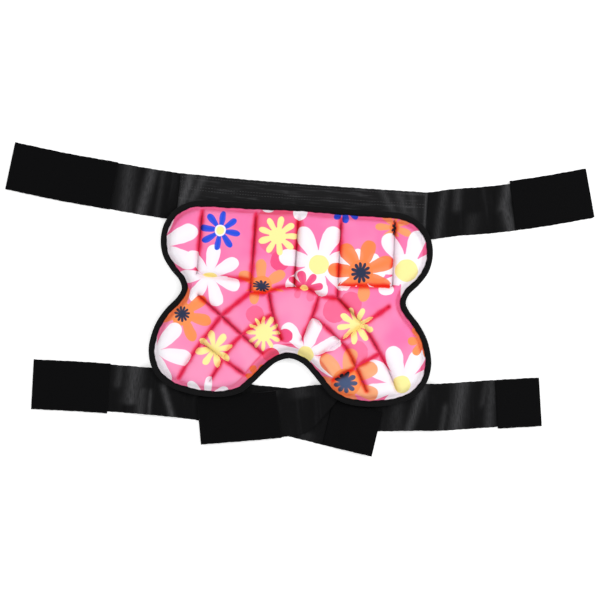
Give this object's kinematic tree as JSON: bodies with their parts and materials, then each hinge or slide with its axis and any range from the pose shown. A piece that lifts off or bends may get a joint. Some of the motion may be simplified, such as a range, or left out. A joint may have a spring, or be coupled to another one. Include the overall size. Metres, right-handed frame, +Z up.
{
  "type": "tailbone protector pad with waist and leg straps",
  "caption": "Quilted foam tailbone and hip pad with a bound butterfly outline, an elastic waist strap and elastic leg straps that close with hook and loop patches.",
  "frame": {"origin": "under the middle of the whole protector, on the surface that its straps lie on", "axes": "+Z up out of the padded face, +Y towards the waist, +X to the right seen from above, along the waist strap"},
  "size_m": [0.6072, 0.3098, 0.0211],
  "materials": {
    "printed_knit": "pink stretch knit printed with daisies, bonded over foam blocks",
    "binding_tape": "black ribbed elastic binding tape",
    "band_cloth": "black cloth band with rows of stitching",
    "elastic_webbing": "black elastic webbing with a satin face and fine cross ribs",
    "loop_tape": "matt black brushed loop tape",
    "hook_tape": "matt black tape with fine moulded hooks"
  },
  "bodies": {
    "root": {"padded_panel": "printed_knit", "edge_binding": "binding_tape", "waist_band": "band_cloth", "waist_strap_left": "elastic_webbing", "waist_strap_right": "elastic_webbing", "waist_loop_patch": "loop_tape", "waist_hook_patch": "hook_tape", "leg_strap_left": "elastic_webbing", "leg_strap_right_outer": "elastic_webbing", "leg_strap_right_tail": "elastic_webbing", "leg_loop_patch_left": "loop_tape", "leg_hook_patch_left": "hook_tape", "leg_hook_patch_right": "hook_tape", "leg_loop_patch_right": "loop_tape"}
  },
  "joints": []
}
